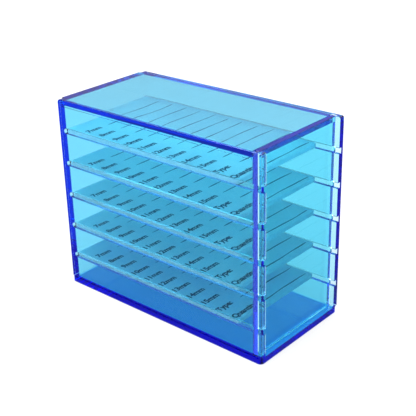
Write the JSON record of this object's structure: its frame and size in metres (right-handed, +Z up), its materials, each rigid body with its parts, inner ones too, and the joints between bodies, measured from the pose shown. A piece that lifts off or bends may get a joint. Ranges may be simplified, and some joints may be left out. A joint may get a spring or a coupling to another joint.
{
  "type": "tray organizer box",
  "caption": "Clear blue acrylic box with white slide-in trays in milled grooves and a lift-out end door, for sorting small parts.",
  "frame": {"origin": "centre of the footprint, on the underside of the base plate", "axes": "+X towards the lift-out end door, -Y the front, +Z up"},
  "size_m": [0.156, 0.0754, 0.126],
  "materials": {
    "case_acrylic": "polished clear blue acrylic sheet, 4 mm, cemented",
    "door_acrylic": "polished clear blue acrylic sheet, 3 mm",
    "tray_acrylic": "translucent white acrylic sheet with a satin face, nominal 3 mm (2.8 mm)",
    "print_ink": "thin matt black screen print on the trays"
  },
  "bodies": {
    "case": {"bottom_panel": "case_acrylic", "front_panel": "case_acrylic", "back_panel": "case_acrylic", "left_panel": "case_acrylic", "top_panel": "case_acrylic"},
    "door": {"end_door": "door_acrylic"},
    "tray_1_body": {"tray_1": "tray_acrylic"},
    "tray_2_body": {"tray_2": "tray_acrylic"},
    "tray_3_body": {"tray_3": "tray_acrylic"},
    "tray_4_body": {"tray_4": "tray_acrylic"},
    "tray_5_body": {"tray_5": "tray_acrylic"}
  },
  "joints": [
    {"name": "door_lift", "type": "slide", "parent": "case", "child": "door", "axis": [0, 0, 1], "range_m": [0, 0.118]},
    {"name": "tray_1_slide", "type": "slide", "parent": "case", "child": "tray_1_body", "axis": [1, 0, 0], "range_m": [0, 0.011]},
    {"name": "tray_2_slide", "type": "slide", "parent": "case", "child": "tray_2_body", "axis": [1, 0, 0], "range_m": [0, 0.011]},
    {"name": "tray_3_slide", "type": "slide", "parent": "case", "child": "tray_3_body", "axis": [1, 0, 0], "range_m": [0, 0.011]},
    {"name": "tray_4_slide", "type": "slide", "parent": "case", "child": "tray_4_body", "axis": [1, 0, 0], "range_m": [0, 0.011]},
    {"name": "tray_5_slide", "type": "slide", "parent": "case", "child": "tray_5_body", "axis": [1, 0, 0], "range_m": [0, 0.011]}
  ]
}
